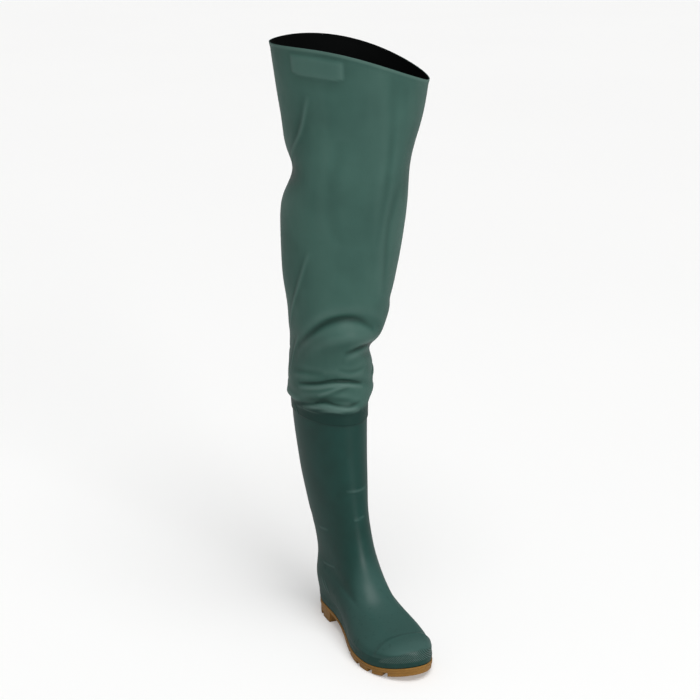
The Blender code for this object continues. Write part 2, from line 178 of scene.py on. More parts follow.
# The boot's rings from the sole to the top of the shaft.
BOOT_COLUMNS = (
    "back", "front", "rise_back", "rise_front",
    "full_0", "full_1", "full_2", "full_3", "x_back", "x_front", "sole",
)
BOOT_ROWS = np.array((
    (0.000, 1.000, 0.000, 0.000, 0.610, 0.350, 0.510, 0.600, 0.000, 0.060, 1.00),
    (-0.018, 1.003, 0.034, 0.032, 0.665, 0.385, 0.520, 0.610, 0.000, 0.060, 0.90),
    (-0.031, 0.993, 0.075, 0.062, 0.690, 0.412, 0.470, 0.600, 0.000, 0.060, 0.62),
    (-0.034, 0.960, 0.115, 0.083, 0.695, 0.420, 0.425, 0.575, 0.000, 0.060, 0.38),
    (-0.032, 0.905, 0.155, 0.102, 0.665, 0.410, 0.380, 0.545, 0.000, 0.056, 0.20),
    (-0.029, 0.835, 0.190, 0.117, 0.615, 0.396, 0.350, 0.510, 0.000, 0.046, 0.08),
    (-0.026, 0.755, 0.222, 0.131, 0.570, 0.386, 0.330, 0.465, 0.000, 0.034, 0.00),
    (-0.027, 0.668, 0.255, 0.150, 0.525, 0.382, 0.330, 0.430, 0.000, 0.034, 0.00),
    (-0.031, 0.584, 0.292, 0.183, 0.490, 0.375, 0.335, 0.402, -0.006, 0.026, 0.00),
    (-0.040, 0.508, 0.335, 0.238, 0.455, 0.370, 0.340, 0.390, -0.016, 0.010, 0.00),
    (-0.054, 0.453, 0.385, 0.312, 0.425, 0.368, 0.346, 0.382, -0.032, -0.014, 0.00),
    (-0.094, 0.420, 0.445, 0.405, 0.408, 0.376, 0.360, 0.380, -0.046, -0.036, 0.00),
    (-0.126, 0.400, 0.520, 0.508, 0.403, 0.391, 0.378, 0.385, -0.059, -0.058, 0.00),
    (-0.162, 0.384, 0.630, 0.628, 0.423, 0.428, 0.420, 0.415, -0.068, -0.068, 0.00),
    (-0.190, 0.370, 0.760, 0.760, 0.453, 0.458, 0.453, 0.440, -0.075, -0.075, 0.00),
    (-0.205, 0.362, 0.880, 0.880, 0.478, 0.486, 0.480, 0.462, -0.080, -0.080, 0.00),
    (-0.210, 0.358, 1.000, 1.000, 0.498, 0.506, 0.500, 0.480, -0.082, -0.082, 0.00),
))

# The leg's sections: share of the way up, the centre's x and y, width and depth, as shares of the thigh's.
LEG_ROWS = np.array((
    (0.00, -0.033, 0.080, 0.480, 0.785),
    (0.04, -0.035, 0.080, 0.515, 0.765),
    (0.08, -0.033, 0.075, 0.525, 0.750),
    (0.13, -0.025, 0.078, 0.505, 0.775),
    (0.18, -0.030, 0.060, 0.500, 0.790),
    (0.23, -0.015, 0.020, 0.580, 0.775),
    (0.28, 0.003, 0.010, 0.645, 0.740),
    (0.37, 0.004, -0.006, 0.715, 0.765),
    (0.47, 0.018, -0.020, 0.765, 0.820),
    (0.57, 0.032, -0.043, 0.800, 0.850),
    (0.67, 0.050, -0.080, 0.820, 0.865),
    (0.77, 0.072, -0.090, 0.850, 0.890),
    (0.88, 0.085, -0.085, 0.930, 0.950),
    (1.00, 0.090, -0.076, 1.000, 1.000),
))

# The leg's main folds, as the part's source has them: share of the way up, turn and reach in degrees,
# climb and bow, half width and depth as shares of the thigh's width.
FOLD_ROWS = (
    (0.284, 18, 75, -0.036, -0.100, 0.050, -0.022),
    (0.232, 18, 62, -0.030, -0.070, 0.058, 0.018),
    (0.190, -38, 48, 0.010, 0.000, 0.065, -0.032),
    (0.104, 20, 78, 0.000, -0.048, 0.036, -0.014),
    (0.042, 36, 68, -0.012, -0.048, 0.028, -0.015),
    (0.016, 30, 76, 0.000, -0.010, 0.034, 0.012),
    (0.014, 112, 42, 0.000, 0.000, 0.050, 0.026),
    (0.045, -62, 36, 0.000, 0.000, 0.060, 0.014),
    (0.662, 110, 54, -0.010, 0.000, 0.135, -0.066),
    (0.770, -66, 50, 0.000, 0.000, 0.300, -0.040),
    (1.000, 112, 34, 0.000, 0.000, 0.450, 0.010),
    (1.000, -60, 34, 0.000, 0.000, 0.300, -0.004),
    (1.000, 24, 60, 0.000, 0.000, 0.350, -0.024),
    (0.335, -95, 58, 0.030, -0.040, 0.052, -0.020),
    (0.185, -118, 62, 0.020, -0.050, 0.052, -0.024),
    (0.075, -108, 66, 0.020, -0.040, 0.038, -0.016),
    (0.130, -100, 60, -0.030, -0.030, 0.050, 0.014),
    (0.265, 172, 56, 0.030, -0.040, 0.055, -0.022),
    (0.150, 165, 60, -0.030, 0.030, 0.048, -0.020),
    (0.062, 178, 55, 0.015, -0.020, 0.036, -0.014),
    (0.600, -150, 60, 0.080, -0.050, 0.150, -0.022),
)

# Finer creases that run round the leg: (degrees, share of the way up) along each, then its half width,
# its depth and the height of the shoulder below it, in millimetres.
CROSS_CREASES = (
    (((-24, 0.258), (2, 0.286), (36, 0.272), (62, 0.228), (84, 0.176)), 6.0, -2.2, 0.8),
    (((-58, 0.190), (-34, 0.208), (-12, 0.204), (14, 0.184)), 5.0, -3.2, 1.4),
    (((-20, 0.088), (4, 0.098), (24, 0.098), (48, 0.086), (78, 0.072)), 2.6, -2.8, 1.8),
    (((-100, 0.136), (-72, 0.120), (-44, 0.102)), 3.0, -2.8, 1.2),
    (((-16, 0.034), (4, 0.026), (22, 0.029), (41, 0.034), (60, 0.021), (90, 0.006)), 2.4, -2.2, 1.0),
    (((-16, 0.010), (8, 0.004), (30, 0.010), (50, 0.004), (76, 0.000)), 3.0, 1.6, -0.4),
    (((2, 0.092), (24, 0.074), (48, 0.050)), 3.2, 1.4, -0.7),
    (((-20, 0.140), (4, 0.128), (22, 0.134)), 4.0, -0.9, 0.6),
    (((40, 0.118), (62, 0.112), (88, 0.104)), 4.0, -0.9, 0.8),
    (((-124, 0.296), (-98, 0.336), (-74, 0.300)), 4.5, -2.2, 1.0),
    (((-140, 0.152), (-104, 0.190), (-72, 0.186)), 4.0, -2.4, 1.2),
    (((-136, 0.040), (-98, 0.079), (-60, 0.066)), 3.4, -2.2, 1.3),
    (((-128, 0.100), (-100, 0.140), (-76, 0.230)), 4.0, 1.8, -0.8),
    (((118, 0.240), (150, 0.290), (196, 0.270)), 5.0, -2.0, 1.0),
    (((110, 0.130), (160, 0.172), (214, 0.140)), 4.4, -2.2, 1.0),
    (((112, 0.050), (150, 0.066), (206, 0.052)), 3.6, -2.2, 1.2),
)

# The ribs moulded in the boot: middle in degrees, height in metres, reach in degrees and rise in metres
# a degree. Then the middle and height of those that run up both sides of the heel.
SHAFT_RIBS = (
    (-7, 0.2355, 26, 0.0),
    (-4, 0.1915, 15, -0.0001),
    (79, 0.1620, 12, -0.0002),
    (-110, 0.1620, 14, 0.0002),
    (98, 0.1020, 18, -0.0002),
    (-100, 0.1020, 18, 0.0002),
)
HEEL_RIBS = ((123.5, 0.0615), (118.5, 0.0610))

# Creases that run up the leg, in the same terms as those round it.
TALL_CREASES = (
    (((112, 0.640), (92, 0.700), (74, 0.762), (58, 0.880)), 3.8, 1.5, -0.4),
    (((102, 0.215), (90, 0.272), (71, 0.351), (54, 0.465)), 3.8, 1.5, -0.4),
    (((100, 0.095), (94, 0.150), (80, 0.215)), 3.4, 1.2, -0.5),
    (((-12, 0.500), (-12, 0.740), (-10, 0.980)), 7.0, -0.5, 0.3),
    (((-30, 0.360), (-22, 0.560), (-26, 0.700)), 9.0, -0.9, 0.5),
    (((28, 0.500), (36, 0.640), (30, 0.780)), 14.0, -0.9, 0.4),
    (((88, -0.036), (92, -0.022), (98, -0.002)), 2.0, 1.4, -0.8),
    (((-150, 0.420), (-135, 0.600), (-128, 0.820)), 6.0, -1.2, 0.6),
    (((150, 0.380), (160, 0.560), (154, 0.760)), 6.0, -1.2, 0.6),
)


def smooth_curve(knots, values, wanted):
    """Cubic through the knots, whose slope at each knot is that of its two neighbours."""
    slopes = np.gradient(values, knots)
    wanted = np.clip(wanted, knots[0], knots[-1])
    cell = np.clip(np.searchsorted(knots, wanted, side="right") - 1, 0, len(knots) - 2)
    width = knots[cell + 1] - knots[cell]
    t = (wanted - knots[cell]) / width
    start = (1 + 2 * t) * (1 - t) ** 2 * values[cell] + t * (1 - t) ** 2 * width * slopes[cell]
    end = t * t * (3 - 2 * t) * values[cell + 1] - t * t * (1 - t) * width * slopes[cell + 1]
    return start + end


def ease(x):
    """Smooth step: 0 below 0, 1 above 1, 3x^2 - 2x^3 between."""
    x = np.clip(x, 0, 1)
    return x * x * (3 - 2 * x)


def bell(x):
    return np.exp(-x * x)


def full(along):
    return smooth_curve(OUTLINE_ROWS[:, 0], OUTLINE_ROWS[:, 1], along)


def bend(along):
    return smooth_curve(OUTLINE_ROWS[:, 0], OUTLINE_ROWS[:, 2], along)


def ground(along):
    """Height of the tread's lowest line: flat, then the toe spring as a parabola."""
    return TOE_SPRING * np.clip((along - SPRING_SHARE) / (1 - SPRING_SHARE), 0, 1) ** 2


def seat(along):
    """Height of the sole's top: it eases down from the heel to the ball, plus the toe spring."""
    fall = ease((along - SEAT_FALL_SHARE) / SEAT_RUN_SHARE)
    return HEEL_HEIGHT + (FOREFOOT_HEIGHT - HEEL_HEIGHT) * fall + ground(along)


def breast(side):
    return (HEEL_LENGTH + BREAST_SLANT * side / 2) / SOLE_LENGTH


def underside(along, side):
    """Height of the tread: the floor line, lifted at the arch until only a slab is left."""
    arch = seat(along) - ARCH_THICKNESS - ground(along)
    start = ease((along - breast(side)) * SOLE_LENGTH / BREAST_SLOPE)
    end = 1 - ease((along - ARCH_END_SHARE) / ARCH_BLEND_SHARE)
    return ground(along) + arch * start * end


def moved_out(rings, distance):
    """Each ring with its points moved level, square to the ring, outwards by this distance."""
    step = np.roll(rings, -1, axis=-2) - np.roll(rings, 1, axis=-2)
    size = np.hypot(step[..., 0], step[..., 1])
    moved = rings.copy()
    moved[..., 0] -= distance * step[..., 1] / size
    moved[..., 1] += distance * step[..., 0] / size
    return moved


def outward(rings):
    """Unit normals of a tube of rings: the way up the tube crossed with the way round it."""
    around = np.roll(rings, -1, axis=1) - np.roll(rings, 1, axis=1)
    normal = np.cross(np.gradient(rings, axis=0), around)
    return normal / np.linalg.norm(normal, axis=2, keepdims=True)


def circle(count):
    return np.arange(count) * 2 * math.pi / count


def boot_rings(level, angle):
    """Rings of the boot: an ellipse between the back and front points of each level, its half width
    times a cubic through the four widths, tilted by the two rises, and drawn to the sole low down."""
    knots = np.linspace(0, 1, len(BOOT_ROWS))
    row = {
        name: smooth_curve(knots, BOOT_ROWS[:, i], np.asarray(level))[:, None]
        for i, name in enumerate(BOOT_COLUMNS)
    }
    share = (1 + np.cos(angle))[None, :] / 2
    third = share * 3
    wide = (
        row["full_0"] * (third - 1) * (third - 2) * (third - 3) / -6
        + row["full_1"] * third * (third - 2) * (third - 3) / 2
        - row["full_2"] * third * (third - 1) * (third - 3) / 2
        + row["full_3"] * third * (third - 1) * (third - 2) / 6
    )
    along = row["back"] + (row["front"] - row["back"]) * share
    wide = wide + (full(share) - wide) * row["sole"]
    shift = row["x_back"] + (row["x_front"] - row["x_back"]) * share
    shift = shift + (bend(share) - shift) * row["sole"]
    x = BALL_WIDTH * (shift - wide * np.sin(angle))
    rise = row["rise_back"] + (row["rise_front"] - row["rise_back"]) * share
    base = seat(np.clip(along, 0, 1)) + GAP
    z = base + rise * (BOOT_HEIGHT - base)
    return np.stack([x, HEEL_BACK - SOLE_LENGTH * along, z], axis=2)


def level_at(height):
    levels = np.linspace(0.7, 1, 200)
    return np.interp(height, boot_rings(levels, np.zeros(1))[:, 0, 2], levels)


def turned(angle, degrees):
    """Degrees from this place round the leg, between -180 and 180."""
    return (np.degrees(angle) - degrees + 180) % 360 - 180


def fold_depth(angle, up):
    """The main folds: bells across a bowed line, faded towards the ends of their reach."""
    depth = 0 * angle * up
    for height, turn, reach, climb, bow, width, deep in FOLD_ROWS:
        along = turned(angle, turn) / reach
        line = height + climb * along + bow * along ** 2
        across = (up - line) * LEG_SPAN / (width * THIGH_WIDTH)
        fade = np.clip(1 - along ** 2, 0, 1) ** 2
        depth = depth + THIGH_WIDTH * deep * fade * bell(across)
    return depth


def crease_depth(angle, up):
    """The fine creases: a narrow bell across a smooth line through each one's points, with a wider
    bell just below or beside it, faded as the square root of a half wave along it."""
    depth = 0 * angle * up
    for rows, tall in ((CROSS_CREASES, False), (TALL_CREASES, True)):
        for points, width, deep, shoulder in rows:
            turn, height = np.array(points, float).T
            if tall:
                place = up + 0 * angle
                away = np.radians(turned(angle, smooth_curve(height, turn, up))) * THIGH_WIDTH / 2
                ends = height[0], height[-1]
            else:
                middle = turn.mean()
                place = turned(angle, middle) + middle + 0 * up
                away = (up - smooth_curve(turn, height, place)) * LEG_SPAN
                ends = turn[0], turn[-1]
            share = np.clip((place - ends[0]) / (ends[1] - ends[0]), 0, 1)
            away = away * 1000 / width
            beside = -2 if tall else 2
            shape = deep * bell(away) + shoulder * bell((away + beside) / 1.5)
            depth = depth + shape * np.sqrt(np.sin(math.pi * share).clip(0)) / 1000
    return depth


def patch_imprint(angle, up):
    """A faint raised field with soft edges high on the outer front, where a tab is welded inside."""
    away = turned(angle, PATCH_TURN)
    side = ease((away + PATCH_REACH) / PATCH_SIDE_EDGE) * ease((PATCH_REACH - away) / PATCH_SIDE_EDGE)
    low = PATCH_LOW + PATCH_SAG * (away / PATCH_REACH) ** 4
    tall = ease((up - low) / PATCH_EDGE) * ease((PATCH_HIGH - up) / PATCH_EDGE)
    return PATCH_HEIGHT * side * tall


def leg_rings(up, angle, out, detail):
    """Rings of the leg: ellipses between its sections, blended from the boot's top ring, with the folds
    and creases as moves square to each ring."""
    start = moved_out(boot_rings([1.0], angle), GAP - SOLE_LEDGE)
    up = np.asarray(up)[:, None]
    centre_x, centre_y, wide, deep = (
        smooth_curve(LEG_ROWS[:, 0], LEG_ROWS[:, i], up) for i in range(1, 5)
    )
    rim = RIM_HEIGHT + RIM_SKEW * np.cos(angle - RIM_HIGH_SIDE)
    rim = rim + RIM_WAVE * np.cos(2 * (angle - RIM_FRONT))
    x = THIGH_WIDTH * (centre_x - wide / 2 * np.sin(angle))
    y = THIGH_DEPTH * (centre_y - deep / 2 * np.cos(angle))
    z = BOOT_HEIGHT + up * (rim - BOOT_HEIGHT)
    rings = np.stack([x, y, z], axis=2)
    blend = ease(up / SHAFT_BLEND_SHARE)[..., None]
    rings[..., :2] = start[..., :2] + (rings[..., :2] - start[..., :2]) * blend
    folds = fold_depth(angle, up) * ease(up / FOLD_START_SHARE)
    if detail:
        folds = folds + crease_depth(angle, up) * ease((up + 0.02) / 0.02) + patch_imprint(angle, up)
    return moved_out(rings, folds + out), folds


def weld_rings(count, angle, out):
    """Rings of the leg's foot, where it lies welded round the top of the shaft."""
    levels = np.linspace(level_at(BOOT_HEIGHT - LEG_OVERLAP), 1, count)[:-1]
    rings = moved_out(boot_rings(levels, angle), GAP - SOLE_LEDGE + out)
    up = (rings[..., 2] - BOOT_HEIGHT) / LEG_SPAN
    return moved_out(rings, crease_depth(angle, up))


def grid_mesh(name, points, masks, maps=None):
    """A mesh of quads through a grid of points that closes round both ways. masks are values per point,
    and maps is the width of one turn in metres for the piece's own map."""
    rows, columns = points.shape[:2]
    row, column = np.meshgrid(np.arange(rows), np.arange(columns), indexing="ij")
    next_row, next_column = (row + 1) % rows, (column + 1) % columns
    quads = np.stack([
        row * columns + column, next_row * columns + column,
        next_row * columns + next_column, row * columns + next_column,
    ], axis=-1).reshape(-1, 4)
    mesh = bpy.data.meshes.new(name)
    mesh.from_pydata(points.reshape(-1, 3), [], quads)
    mesh.polygons.foreach_set("use_smooth", np.ones(len(quads), bool))
    if maps:
        u = np.stack([column, column, column + 1, column + 1], axis=-1) * maps / columns
        v = points[..., 2].reshape(-1)[quads].reshape(u.shape)
        layer = mesh.uv_layers.new(name="cloth")
        layer.data.foreach_set("uv", np.stack([u, v], axis=-1).reshape(-1).astype(np.float32))
    for key, values in masks.items():
        attribute = mesh.attributes.new(key, "FLOAT", "POINT")
        attribute.data.foreach_set("value", values.reshape(-1).astype(np.float32))
    return mesh


def add_piece(name, mesh, finish, slot, *nodes):
    piece = bpy.data.objects.new(name, mesh)
    bpy.context.scene.collection.objects.link(piece)
    mesh.materials.append(finish.material)
    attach(piece, "root")
    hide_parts(*nodes)


class Wire:
    """An output socket of a finish, which can be reckoned with like a number."""

    def __init__(self, finish, socket):
        self.finish = finish
        self.socket = socket

    def __add__(self, other):
        return self.finish.math("ADD", self, other)

    def __sub__(self, other):
        return self.finish.math("SUBTRACT", self, other)

    def __rsub__(self, other):
        return self.finish.math("SUBTRACT", other, self)

    def __mul__(self, other):
        return self.finish.math("MULTIPLY", self, other)

    __radd__ = __add__


class Finish:
    """A procedural material. What stays the same all over is set on the shader's own sockets."""

    def __init__(self, name, **constants):
        self.material = bpy.data.materials.new(name)
        self.material.use_nodes = True
        self.tree = self.material.node_tree
        self.shader = self.tree.nodes["Principled BSDF"]
        for key, value in constants.items():
            self.shader.inputs[key.replace("_", " ")].default_value = value
        self.place = self.node("TexCoord", output="Object")

    def node(self, kind, settings=None, inputs=None, output=0):
        made = self.tree.nodes.new("ShaderNode" + kind)
        for key, value in (settings or {}).items():
            setattr(made, key, value)
        for key, value in (inputs or {}).items():
            if isinstance(value, Wire):
                self.tree.links.new(value.socket, made.inputs[key])
            else:
                made.inputs[key].default_value = value
        return Wire(self, made.outputs[output])

    def math(self, operation, *values):
        return self.node("Math", {"operation": operation}, dict(enumerate(values)))

    def limited(self, value, low, high):
        """The value's way from low to high, as 0 to 1."""
        return self.node("MapRange", {"clamp": True}, {0: value, 1: low, 2: high, 3: 0.0, 4: 1.0})

    def mixed(self, share, first, second):
        inputs = {0: share, 6: first, 7: second}
        return self.node("Mix", {"data_type": "RGBA"}, inputs, 2)

    def noise(self, scale, detail=2.0, vector=None, roughness=0.5):
        inputs = {"Vector": vector or self.place, "Scale": scale, "Detail": detail, "Roughness": roughness}
        return self.node("TexNoise", {}, inputs)

    def stretched(self, scale):
        return self.node("Mapping", {}, {"Vector": self.place, "Scale": scale})

    def mask(self, name):
        return self.node("Attribute", {"attribute_name": name}, output="Fac")

    def bump(self, height, distance, strength=1.0, normal=None):
        inputs = {"Height": height, "Distance": distance, "Strength": strength}
        if normal:
            inputs["Normal"] = normal
        return self.node("Bump", {}, inputs, "Normal")

    def feed(self, **wires):
        for key, wire in wires.items():
            self.tree.links.new(wire.socket, self.shader.inputs[key.replace("_", " ")])


def color(red, green, blue):
    """Linear colour from the eight-bit values of a screen colour."""
    share = np.array([red, green, blue]) / 255
    linear = np.where(share <= 0.04045, share / 12.92, ((share + 0.055) / 1.055) ** 2.4)
    return (*linear.tolist(), 1.0)


def cloth_finish():
    """Coated woven nylon: a fine plain weave under a satin coat, with painted shade in the fold hollows
    and over the welded foot, painted highlights along the fold ridges, and a dark lining painted nearly
    black to stand in for the shade inside.
    """
    finish = Finish("leg_cloth", Specular_IOR_Level=0.04, Coat_Roughness=0.42, Coat_IOR=2.0)
    cloth = finish.node("UVMap", {"uv_map": "cloth"})
    threads = [
        finish.node(
            "TexWave", {"bands_direction": way},
            {"Vector": cloth, "Scale": 520.0, "Distortion": 0.6, "Detail": 1.0, "Detail Scale": 2.0},
            "Fac",
        )
        for way in ("X", "Y")
    ]
    blotches = finish.noise(9.0, 3.0)
    clouds = finish.noise(34.0, 4.0)
    streaks = finish.noise(26.0, 3.0, finish.stretched((1.0, 1.0, 0.14)))
    painted_fold_shade = finish.mask("painted_fold_shade")
    inside = finish.mask("inside")
    lit = finish.mixed(finish.limited(blotches, 0.36, 0.66), color(45, 74, 67), color(55, 86, 78))
    lit = finish.mixed(finish.limited(streaks, 0.45, 0.75) * 0.35, lit, color(64, 92, 84))
    # Painted shade: the fold hollows are darkened towards a deep green.
    shade = finish.mixed(painted_fold_shade * 0.75, lit, color(14, 36, 30))
    # Painted shade over the leg's welded foot, which is the same cloth as the sleeve.
    shade = finish.mixed(finish.mask("weld"), shade, color(20, 48, 43))
    # Painted highlight along the fold ridges and the welded foot's creases.
    shade = finish.mixed(finish.mask("painted_ridge_highlight") * 0.7, shade, color(82, 108, 101))
    shade = finish.mixed(finish.mask("hem") * 0.35, shade, color(88, 114, 106))
    # Inside the leg: a dark lining, painted nearly black to stand in for the shade inside.
    shade = finish.mixed(inside, shade, color(3, 4, 4))
    finish.feed(Base_Color=shade)
    finish.feed(Roughness=0.44 + clouds * 0.14 + inside * 0.25, Coat_Weight=0.06 - inside * 0.06)
    weave = finish.bump(threads[0] * threads[1], 0.00008, 0.5)
    crinkle = finish.noise(95.0, 3.0)
    soft = finish.bump(crinkle, 0.0006, 0.35, weave)
    finish.feed(Normal=finish.bump(clouds, 0.0022, 0.30, soft))
    return finish


def boot_finish():
    """Moulded soft plastic: dark green, half gloss, with a faint pebble, sink marks and dull scuffs, and
    painted light on the faces that turn up, most on the toe cap.
    """
    finish = Finish("boot_plastic", Specular_IOR_Level=0.02, Coat_Roughness=0.40, Coat_IOR=2.2)
    pebble = finish.noise(900.0, 2.0)
    waves = finish.noise(22.0, 2.0)
    scuffs = finish.noise(140.0, 4.0, finish.stretched((1.0, 1.0, 0.35)), 0.6)
    low = finish.node("SeparateXYZ", {}, {0: finish.place}, 2)
    worn = finish.limited(scuffs, 0.58, 0.74) * (1 - finish.limited(low, 0.02, 0.16))
    tone = finish.mixed(finish.limited(waves, 0.35, 0.70), color(8, 47, 41), color(12, 54, 48))
    # Painted light from above on the upward faces of the foot and the toe cap.
    tone = finish.mixed(finish.mask("painted_top_light"), tone, color(56, 85, 80))
    tone = finish.mixed(worn * 0.35, tone, color(42, 58, 53))
    tone = finish.mixed(finish.mask("rib") * 0.4, tone, color(74, 102, 96))
    slant = {0: finish.place, 1: (1.0, -0.35, 0.9)}
    across = finish.node("VectorMath", {"operation": "DOT_PRODUCT"}, slant, "Value")
    hatched = finish.limited(finish.math("SINE", across * 2050.0), -0.3, 0.5) * finish.mask("hatch")
    tone = finish.mixed(finish.mask("hatch") * 0.75, tone, color(10, 34, 30))
    tone = finish.mixed(hatched * 0.7, tone, color(72, 100, 94))
    tone = finish.mixed(finish.mask("inside"), tone, color(6, 8, 8))
    finish.feed(Base_Color=tone)
    finish.feed(Roughness=0.42 + waves * 0.10 + worn * 0.22)
    finish.feed(Coat_Weight=0.12 - worn * 0.08)
    grain = finish.bump(hatched, 0.0006, 0.7, finish.bump(pebble, 0.00012, 0.5))
    finish.feed(Normal=finish.bump(waves, 0.0015, 0.30, grain))
    return finish


def sole_finish():
    """Caramel rubber: matt, finely pitted, a little darker and dusty low down."""
    finish = Finish("sole_rubber", Specular_IOR_Level=0.15)
    pits = finish.noise(1100.0, 2.0)
    patches = finish.noise(40.0, 4.0)
    low = finish.node("SeparateXYZ", {}, {0: finish.place}, 2)
    dust = finish.limited(patches, 0.45, 0.75) * (1 - finish.limited(low, 0.0, 0.012))
    tone = finish.mixed(finish.limited(patches, 0.3, 0.7), color(120, 86, 38), color(134, 97, 46))
    tone = finish.mixed(dust * 0.4, tone, color(96, 76, 50))
    finish.feed(Base_Color=tone)
    finish.feed(Roughness=0.52 + patches * 0.16)
    finish.feed(Normal=finish.bump(pits, 0.00015, 0.5))
    return finish


def insole_finish():
    """Dark grey felted lining with short fibres."""
    finish = Finish("insole_felt", Roughness=0.95, Specular_IOR_Level=0.2)
    fibres = finish.noise(1600.0, 3.0, finish.stretched((1.0, 0.25, 1.0)))
    tone = finish.mixed(finish.limited(fibres, 0.35, 0.65), color(44, 46, 46), color(78, 80, 78))
    finish.feed(Base_Color=tone)
    finish.feed(Normal=finish.bump(fibres, 0.0004, 0.6))
    return finish


def floor_finish():
    finish = Finish("pale_floor", Roughness=0.65, Specular_IOR_Level=0.2, Emission_Strength=0.22)
    finish.shader.inputs["Emission Color"].default_value = (1, 1, 1, 1)
    finish.feed(Base_Color=finish.mixed(finish.noise(0.8), (0.73, 0.73, 0.725, 1), (0.75, 0.75, 0.745, 1)))
    return finish


def boot_outer(angle):
    """The boot's outer face: the rand bulges a little over the sole, steps in with a rounded edge, and
    the foot and shaft follow; the toe cap is raised with a bead along its edge."""
    first = moved_out(boot_rings([0.0], angle), -SOLE_LEDGE)[0]
    above = boot_rings([RAND_LEVEL], angle)[0]
    along = (HEEL_BACK - above[:, 1]) / SOLE_LENGTH
    from_arch = (along - RAND_ARCH_SHARE) / RAND_REACH_SHARE
    top = seat(np.clip(along, 0, 1)) + RAND_HEIGHT + RAND_ARCH_RISE * bell(from_arch)
    front = ease((RAND_FRONT_REACH - np.abs(turned(angle, 0))) / RAND_FRONT_FADE)
    stands = RAND_FRONT_SHARE * RAND_STEP * front
    low_edge = moved_out(moved_out(above, -SOLE_LEDGE), stands)
    low_edge[:, 2] = top
    high_edge = moved_out(above, -SOLE_LEDGE)
    high_edge[:, 2] = top + 3 * RAND_STEP
    low_edge[:, 2] = top - RAND_STEP
    foot = moved_out(boot_rings([FOOT_LEVEL], angle), -SOLE_LEDGE)[0]
    rings = []
    for share in np.linspace(0, 1, 12):
        ring = first + (low_edge - first) * share
        rings.append(moved_out(ring, RAND_BULGE * math.sin(math.pi * share)))
    for share in np.linspace(0, 1, 6)[1:]:
        rings.append(low_edge + (high_edge - low_edge) * [ease(share), ease(share), share])
    rand_top = len(rings)
    for share in np.linspace(0, 1, 10)[1:-1]:
        rings.append(high_edge + (foot - high_edge) * share)
    foot_start = len(rings)
    levels = np.linspace(FOOT_LEVEL, 1, SHAFT_RINGS)
    rings = np.concatenate([rings, moved_out(boot_rings(levels, angle), -SOLE_LEDGE)])
    edge = HEEL_BACK - SOLE_LENGTH + TOE_CAP_LENGTH
    behind = (rings[..., 1] - edge) / TOE_CAP_BLEND
    cap = ease(-behind) * TOE_CAP_STEP + CAP_BEAD * bell((behind + 0.8) / 0.5)
    cap[:rand_top] = 0
    cap[rand_top:foot_start] *= np.linspace(0.2, 1, foot_start - rand_top)[:, None]
    relief, ribs = boot_relief(rings, angle)
    # Painted light from above: strong where the face turns up, on the foot below about 0.2 m, and
    # strongest on the toe cap.
    top_light_share = ease((outward(rings)[..., 2] - 0.10) / 0.55) * ease((0.20 - rings[..., 2]) / 0.06)
    top_light_share = top_light_share * (0.64 + 0.36 * ease((-behind - 1) / 5))
    over = rings[..., 2] - top
    spread = np.sqrt(np.clip(1 - (turned(angle, HATCH_MIDDLE) / HATCH_REACH) ** 2, 0, 1))
    hatch = ease((over - HATCH_FOOT) / HATCH_EDGE) * ease((HATCH_TOP * spread - over) / HATCH_EDGE)
    hatch = hatch * ease(spread * 3)
    return rings + outward(rings) * (cap + relief)[..., None], ribs, hatch, top_light_share


def boot_relief(rings, angle):
    """A step at the back of the calf and faint ribs moulded in the boot, and how near each point lies
    to one of the ribs."""
    z = rings[..., 2]
    turn = turned(angle, 0)[None, :]
    back = ease((np.abs(turn) - 100) / 40)
    step = -CALF_STEP_DEPTH * bell((z - CALF_STEP_PLACE) / CALF_STEP_HALF_WIDTH) * back
    ribs = 0 * z
    for middle, height, reach, slope in SHAFT_RIBS:
        place = turn - middle
        line = height + slope * place
        ends = np.sqrt(np.clip(1 - (place / reach) ** 2, 0, 1))
        ribs = ribs + bell((z - line) / RIB_HALF_WIDTH) * ends
    for middle, height in HEEL_RIBS:
        place = np.abs(turn) - middle + (height - z) / HEEL_RIB_SLANT
        ribs = ribs + bell(place) * np.sqrt(np.clip(1 - ((z - height) / HEEL_RIB_REACH) ** 2, 0, 1))
    return step + RIB_HEIGHT * ribs, ribs


def boot_mesh():
    angle = circle(BOOT_AROUND)
    outer, ribs, hatch, top_light_share = boot_outer(angle)
    levels = np.linspace(1, 0.0, 60)
    inner = moved_out(boot_rings(levels, angle), -SOLE_LEDGE)
    inner = inner + outward(inner) * BOOT_WALL
    inner[0, :, 2] = BOOT_HEIGHT
    inner[-1, :, 2] = outer[0, :, 2]
    points = np.concatenate([outer, inner])
    inside = np.zeros(points.shape[:2])
    inside[len(outer):] = 1
    masks = {"inside": inside}
    for name, values in (("rib", ribs), ("hatch", hatch), ("painted_top_light", top_light_share)):
        masks[name] = np.concatenate([values, np.zeros(inner.shape[:2])])
    return grid_mesh("wader_boot", points, masks)


